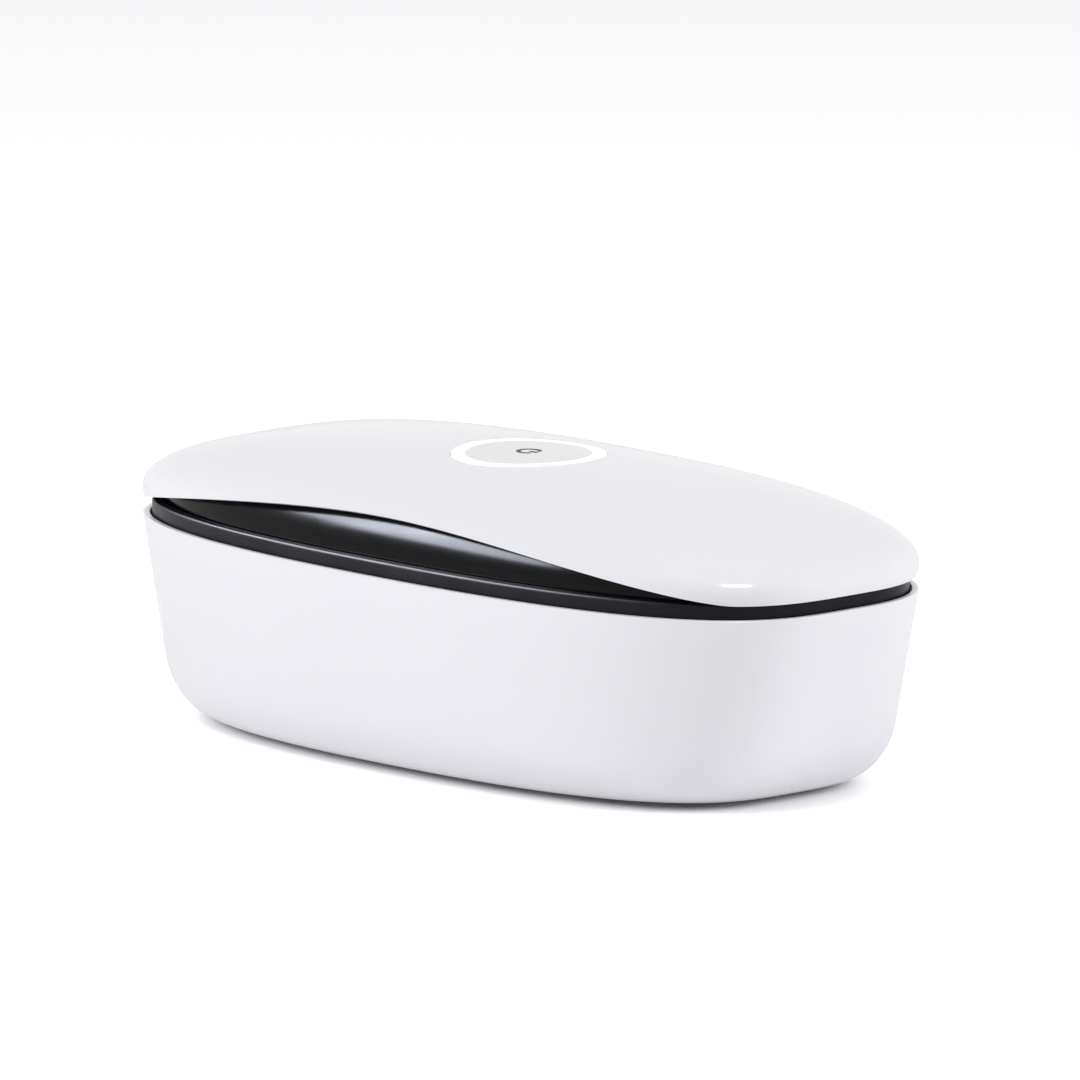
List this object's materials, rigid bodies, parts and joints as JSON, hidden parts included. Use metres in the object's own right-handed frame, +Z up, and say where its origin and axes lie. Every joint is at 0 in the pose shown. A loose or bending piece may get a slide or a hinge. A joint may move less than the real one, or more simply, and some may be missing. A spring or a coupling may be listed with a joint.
{
  "type": "pacifier sterilizer case",
  "caption": "Oval white ultraviolet sterilizer case for pacifiers, with a hinged domed lid that arches up at the front over a black frame, and a ringed press button on top.",
  "frame": {"origin": "on the table under the middle of the case", "axes": "+X along the long axis, -Y out of the front, +Z up"},
  "size_m": [0.23, 0.11, 0.075],
  "materials": {
    "white_gloss": "glossy white ABS",
    "white_matte": "matte white ABS",
    "black_gloss": "polished black ABS",
    "black_matte": "matte black nylon",
    "plated_tray": "bright plating on plastic",
    "foot_rubber": "soft rubber",
    "screw_steel": "nickel-plated steel",
    "magnet_nickel": "nickel-plated magnet",
    "battery_wrap": "foil pouch",
    "board_green": "solder mask",
    "board_white": "white solder mask",
    "chip_black": "moulded epoxy",
    "lamp_yellow": "lamp package",
    "wire_red": "silicone wire",
    "wire_yellow": "silicone wire",
    "quartz": "clear quartz",
    "ring_diffuser": "clear diffuser, lit from below"
  },
  "bodies": {
    "base": {"bottom_cover": "white_matte", "foot_front_left": "foot_rubber", "foot_front_right": "foot_rubber", "foot_rear_left": "foot_rubber", "foot_rear_right": "foot_rubber", "bottom_screws": "screw_steel", "tub_shell": "white_gloss", "chassis": "white_matte", "battery": "battery_wrap", "battery_clips": "white_matte", "battery_lead": "wire_red", "main_board": "board_green", "board_chips": "chip_black", "board_screws": "screw_steel", "usb_socket": "screw_steel", "liner_tray": "plated_tray", "rim_frame": "black_gloss", "base_magnet": "magnet_nickel", "lid_sensor": "board_green", "sensor_lead": "wire_yellow", "hinge_base": "black_matte", "hinge_screws": "screw_steel", "hinge_pin": "screw_steel"},
    "lid": {"lid_hinge": "black_matte", "lid_hinge_screws": "screw_steel", "lid_frame": "black_gloss", "lid_seal": "foot_rubber", "lid_magnet": "magnet_nickel", "reflector": "plated_tray", "uv_window": "quartz", "uv_board": "board_white", "uv_lamps": "lamp_yellow", "uv_board_screws": "screw_steel", "button_board": "board_green", "ring_lamps": "lamp_yellow", "button_board_screws": "screw_steel", "switch_body": "black_matte", "lid_lead": "wire_yellow", "light_ring": "ring_diffuser", "lid_cover": "white_gloss", "lid_screws": "screw_steel"},
    "button": {"button_cap": "white_gloss"},
    "plunger": {"switch_plunger": "white_matte"}
  },
  "joints": [
    {"name": "lid_hinge", "type": "hinge", "parent": "base", "child": "lid", "pos_m": [0, 0.0524, 0.0532], "axis": [-1, 0, 0], "range_deg": [0, 100]},
    {"name": "button_press", "type": "slide", "parent": "lid", "child": "button", "axis": [0, 0, -1], "range_m": [0, 0.00035], "stiffness_N_per_m": 4000, "springref_m": -0.0001},
    {"name": "plunger_press", "type": "slide", "parent": "lid", "child": "plunger", "axis": [0, 0, -1], "range_m": [0, 0.00035]}
  ],
  "couplings": [
    {"joint": "plunger_press", "follows": "button_press", "ratio": 1}
  ]
}
